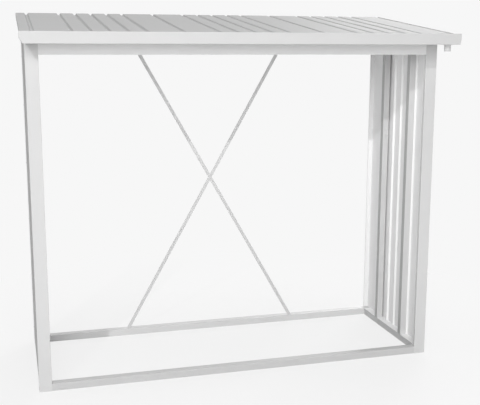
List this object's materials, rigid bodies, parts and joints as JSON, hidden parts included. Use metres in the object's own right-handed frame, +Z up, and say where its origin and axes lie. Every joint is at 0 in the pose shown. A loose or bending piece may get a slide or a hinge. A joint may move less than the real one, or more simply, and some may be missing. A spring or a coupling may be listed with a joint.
{
  "type": "open-fronted steel log store",
  "caption": "Open-fronted log store in folded sheet steel with ribbed end walls, a sloping ribbed roof, a cross-braced open back and a front gutter.",
  "frame": {"origin": "on the ground, at the middle of the space the whole store takes up, gutter and roof included", "axes": "+X along the front to the right seen from the open front, +Y from the open front to the back, +Z up"},
  "size_m": [2.294, 1.049, 1.9896],
  "materials": {
    "frame_steel": "satin",
    "ribbed_sheet": "satin",
    "gutter_sheet": "satin",
    "brace_bar": "satin"
  },
  "bodies": {
    "root": {"front_left_post": "frame_steel", "front_right_post": "frame_steel", "back_left_post": "frame_steel", "back_right_post": "frame_steel", "front_sill": "frame_steel", "back_sill": "frame_steel", "left_sill": "frame_steel", "right_sill": "frame_steel", "front_head_rail": "frame_steel", "back_head_rail": "frame_steel", "left_top_rail": "frame_steel", "right_top_rail": "frame_steel", "left_front_stud": "frame_steel", "left_back_stud": "frame_steel", "right_front_stud": "frame_steel", "right_back_stud": "frame_steel", "left_wall_sheet": "ribbed_sheet", "right_wall_sheet": "ribbed_sheet", "left_roof_sheet": "ribbed_sheet", "middle_roof_sheet": "ribbed_sheet", "right_roof_sheet": "ribbed_sheet", "gutter": "gutter_sheet", "gutter_left_cap": "gutter_sheet", "gutter_right_cap": "gutter_sheet", "gutter_outlet": "gutter_sheet", "rising_brace_bar": "brace_bar", "falling_brace_bar": "brace_bar"}
  },
  "joints": []
}
